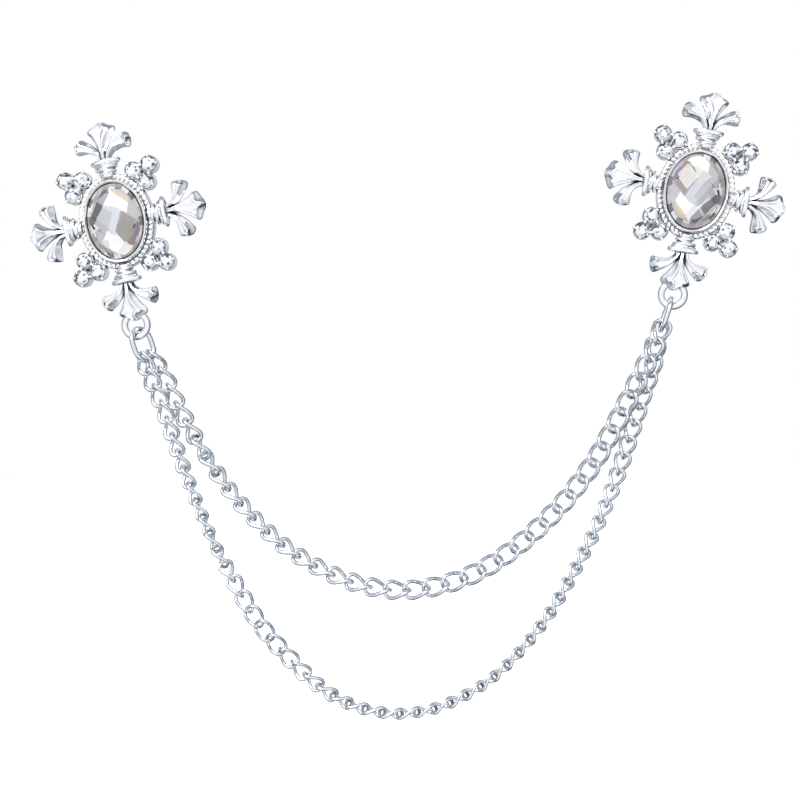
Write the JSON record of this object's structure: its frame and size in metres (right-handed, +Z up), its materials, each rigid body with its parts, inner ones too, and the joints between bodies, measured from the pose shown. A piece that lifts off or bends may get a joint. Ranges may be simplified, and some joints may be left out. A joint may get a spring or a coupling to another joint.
{
  "type": "lapel chain with two jewelled brooches",
  "caption": "Lapel chain: two silver cross brooches with an oval faceted crystal and trefoils of brilliants, joined by two swagged curb chains.",
  "frame": {"origin": "where the left brooch pins on: the middle of the back of the left brooch", "axes": "+X from the left brooch to the right one, +Z up as worn, the fronts face -Y"},
  "size_m": [0.1593, 0.0156, 0.1319],
  "materials": {
    "silver_casting": "polished",
    "silver_chain": "polished",
    "crystal": "faceted, foil backed",
    "brilliant": "faceted, foil backed",
    "post_steel": "polished"
  },
  "bodies": {
    "root": {"left_setting": "silver_casting", "left_crystal": "crystal", "left_stone_1": "brilliant", "left_stone_2": "brilliant", "left_stone_3": "brilliant", "left_stone_4": "brilliant", "left_stone_5": "brilliant", "left_stone_6": "brilliant", "left_stone_7": "brilliant", "left_stone_8": "brilliant", "left_stone_9": "brilliant", "left_stone_10": "brilliant", "left_stone_11": "brilliant", "left_stone_12": "brilliant", "left_post": "post_steel", "left_connector": "silver_chain", "right_setting": "silver_casting", "right_crystal": "crystal", "right_stone_1": "brilliant", "right_stone_2": "brilliant", "right_stone_3": "brilliant", "right_stone_4": "brilliant", "right_stone_5": "brilliant", "right_stone_6": "brilliant", "right_stone_7": "brilliant", "right_stone_8": "brilliant", "right_stone_9": "brilliant", "right_stone_10": "brilliant", "right_stone_11": "brilliant", "right_stone_12": "brilliant", "right_post": "post_steel", "right_connector": "silver_chain", "short_chain": "silver_chain", "long_chain": "silver_chain"}
  },
  "joints": []
}
